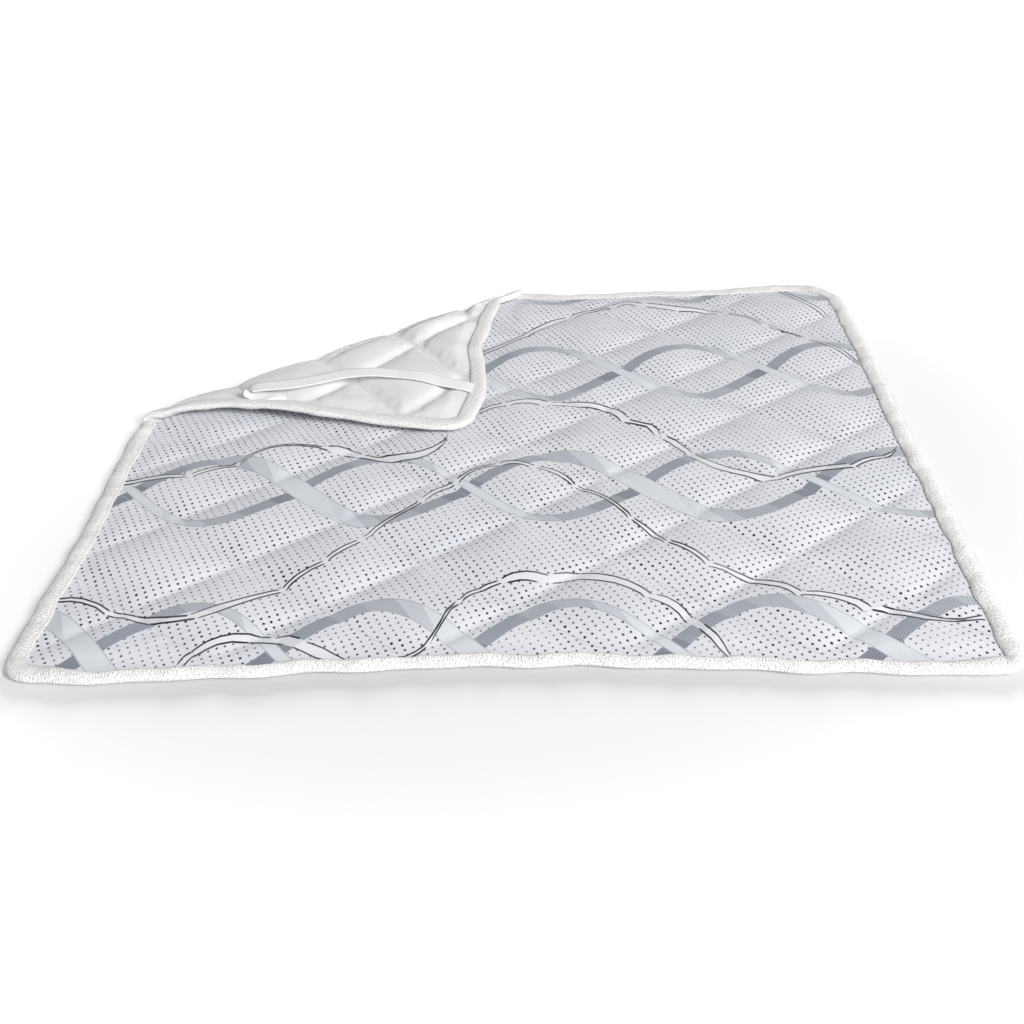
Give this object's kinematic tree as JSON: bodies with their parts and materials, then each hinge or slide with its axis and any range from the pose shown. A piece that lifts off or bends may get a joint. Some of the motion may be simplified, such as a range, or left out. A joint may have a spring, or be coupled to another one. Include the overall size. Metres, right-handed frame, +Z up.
{
  "type": "mattress protector",
  "caption": "Thin quilted mattress protector lying flat, with bound edges, elastic corner straps and one corner turned over onto the top.",
  "frame": {"origin": "on the floor under the middle of the protector's footprint as it lies, one corner turned over", "axes": "+Z up through the thickness, +Y along the longer side towards the end with the turned corner, +X to the right seen from the near end"},
  "size_m": [0.9014, 0.9218, 0.0344],
  "materials": {
    "patterned_knit": "matt brushed knit, grey pattern on a pale grey ground",
    "polyester_wadding": "soft white fibre fill",
    "white_microfibre": "plain white, fine matt weave",
    "ribbed_binding_tape": "white tape with fine cross ribs",
    "white_elastic": "white woven elastic"
  },
  "bodies": {
    "pad": {"pad_cover": "patterned_knit", "pad_wadding": "polyester_wadding", "pad_backing": "white_microfibre", "pad_binding": "ribbed_binding_tape", "strap_near_left_sewn_end": "white_elastic", "strap_near_left_sewn_side": "white_elastic", "strap_near_right_sewn_end": "white_elastic", "strap_near_right_sewn_side": "white_elastic", "strap_far_right_sewn_end": "white_elastic", "strap_far_right_sewn_side": "white_elastic"},
    "fold_roll": {"fold_cover": "patterned_knit", "fold_wadding": "polyester_wadding", "fold_backing": "white_microfibre", "fold_binding_side": "ribbed_binding_tape", "fold_binding_end": "ribbed_binding_tape"},
    "corner_flap": {"flap_cover": "patterned_knit", "flap_wadding": "polyester_wadding", "flap_backing": "white_microfibre", "flap_binding": "ribbed_binding_tape", "strap_flap_sewn_end": "white_elastic", "strap_flap_sewn_side": "white_elastic"},
    "near_left_strap": {"strap_near_left": "white_elastic"},
    "near_right_strap": {"strap_near_right": "white_elastic"},
    "far_right_strap": {"strap_far_right": "white_elastic"},
    "flap_strap": {"strap_flap": "white_elastic"}
  },
  "joints": [
    {"name": "fold_lower_hinge", "type": "hinge", "parent": "pad", "child": "fold_roll", "pos_m": [-0.22071, 0.2552, 0.00507], "axis": [-0.7472, -0.6646, 0], "range_deg": [0, 89.4]},
    {"name": "fold_upper_hinge", "type": "hinge", "parent": "fold_roll", "child": "corner_flap", "pos_m": [-0.22071, 0.2552, 0.01293], "axis": [-0.7472, -0.6646, 0], "range_deg": [0, 89.4]},
    {"name": "near_left_strap_pull", "type": "slide", "parent": "pad", "child": "near_left_strap", "axis": [0, 0, -1], "range_m": [0, 0.045], "stiffness_N_per_m": 30},
    {"name": "near_right_strap_pull", "type": "slide", "parent": "pad", "child": "near_right_strap", "axis": [0, 0, -1], "range_m": [0, 0.045], "stiffness_N_per_m": 30},
    {"name": "far_right_strap_pull", "type": "slide", "parent": "pad", "child": "far_right_strap", "axis": [0, 0, -1], "range_m": [0, 0.045], "stiffness_N_per_m": 30},
    {"name": "flap_strap_pull", "type": "slide", "parent": "corner_flap", "child": "flap_strap", "axis": [0, 0, 1], "range_m": [0, 0.035], "stiffness_N_per_m": 30}
  ],
  "couplings": [
    {"joint": "fold_lower_hinge", "follows": "fold_upper_hinge", "ratio": 1}
  ]
}
